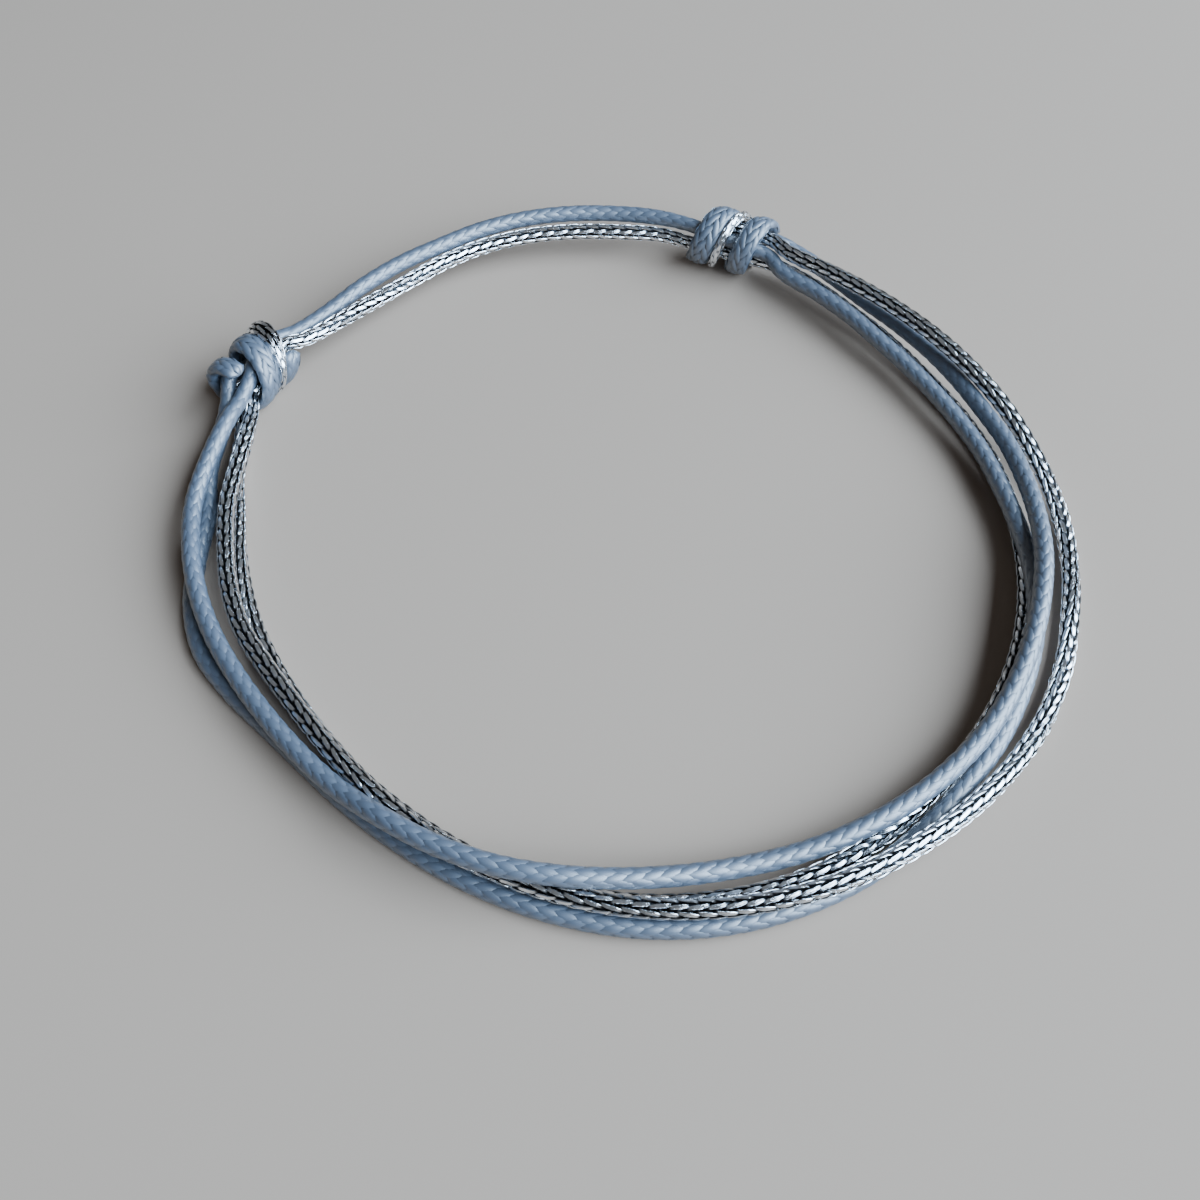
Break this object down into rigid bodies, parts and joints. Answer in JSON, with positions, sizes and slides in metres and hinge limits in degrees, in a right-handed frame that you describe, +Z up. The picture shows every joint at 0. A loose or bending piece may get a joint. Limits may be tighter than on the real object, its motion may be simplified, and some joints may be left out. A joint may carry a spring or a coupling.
{
  "type": "string anklet",
  "caption": "Adjustable string anklet: a pale waxed cord and a silver cord in a pair, wound round and knotted into a ring with sliding knots, lying flat.",
  "frame": {"origin": "middle of the ring's outline, on the surface that it lies on", "axes": "+Z up from the surface and through the ring, +Y from the viewer of the picture towards the back, +X to the viewer's right"},
  "size_m": [0.0708, 0.07, 0.0056],
  "materials": {
    "waxed_cord": "waxed braid, faint sheen",
    "silver_cord": "bright metallic braid"
  },
  "bodies": {
    "root": {"waxed_cord": "waxed_cord", "silver_cord": "silver_cord", "left_knot_waxed_turns": "waxed_cord", "left_knot_silver_turns": "silver_cord", "back_knot_waxed_turns": "waxed_cord", "back_knot_silver_turns": "silver_cord"}
  },
  "joints": []
}
